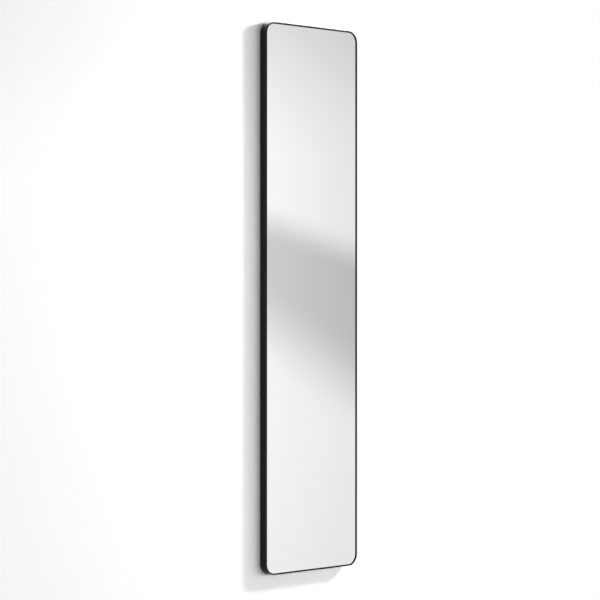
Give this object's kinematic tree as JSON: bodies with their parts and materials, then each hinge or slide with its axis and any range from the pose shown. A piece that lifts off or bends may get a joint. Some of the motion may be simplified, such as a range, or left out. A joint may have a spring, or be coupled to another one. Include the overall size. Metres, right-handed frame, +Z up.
{
  "type": "wall mirror",
  "caption": "Tall narrow wall mirror with rounded corners and a slim black steel frame, hung on a two-part hooked rail that it lifts off.",
  "frame": {"origin": "on the wall plane, midway between the two screw slots of the wall rail", "axes": "+Z up, +X to the right seen from the front, +Y into the wall; the glass faces -Y"},
  "size_m": [0.4, 0.0291, 1.7],
  "materials": {
    "frame_black": "satin black powder coat on steel",
    "mirror_silver": "clear float glass, silvered at the back",
    "film_grey": "woven-backed safety film",
    "foam_white": "closed-cell foam tape, sticky on both sides",
    "board_fibre": "raw medium-density fibreboard",
    "batten_wood": "planed plywood",
    "rail_aluminium": "mill-finish extrusion",
    "screw_zinc": "zinc plated",
    "bumper_rubber": "moulded black rubber"
  },
  "bodies": {
    "wall_rail": {"wall_rail": "rail_aluminium"},
    "mirror": {"frame_bar": "frame_black", "mirror_glass": "mirror_silver", "safety_film": "film_grey", "backboard": "board_fibre", "rail_batten": "batten_wood", "foot_batten": "batten_wood", "mirror_rail": "rail_aluminium", "bumper_left": "bumper_rubber", "bumper_right": "bumper_rubber", "frame_tab_left_1": "frame_black", "frame_tab_left_2": "frame_black", "frame_tab_left_3": "frame_black", "frame_tab_left_4": "frame_black", "frame_tab_right_1": "frame_black", "frame_tab_right_2": "frame_black", "frame_tab_right_3": "frame_black", "frame_tab_right_4": "frame_black", "frame_tab_top": "frame_black", "frame_tab_bottom": "frame_black", "foam_tape_1": "foam_white", "foam_tape_2": "foam_white", "foam_tape_3": "foam_white", "foam_tape_4": "foam_white", "tab_screws": "screw_zinc", "rail_screws": "screw_zinc", "foot_batten_screws": "screw_zinc", "bumper_screws": "screw_zinc"}
  },
  "joints": [
    {"name": "mirror_lift", "type": "slide", "parent": "wall_rail", "child": "mirror", "axis": [0, 0, 1], "range_m": [0, 0.014]}
  ]
}
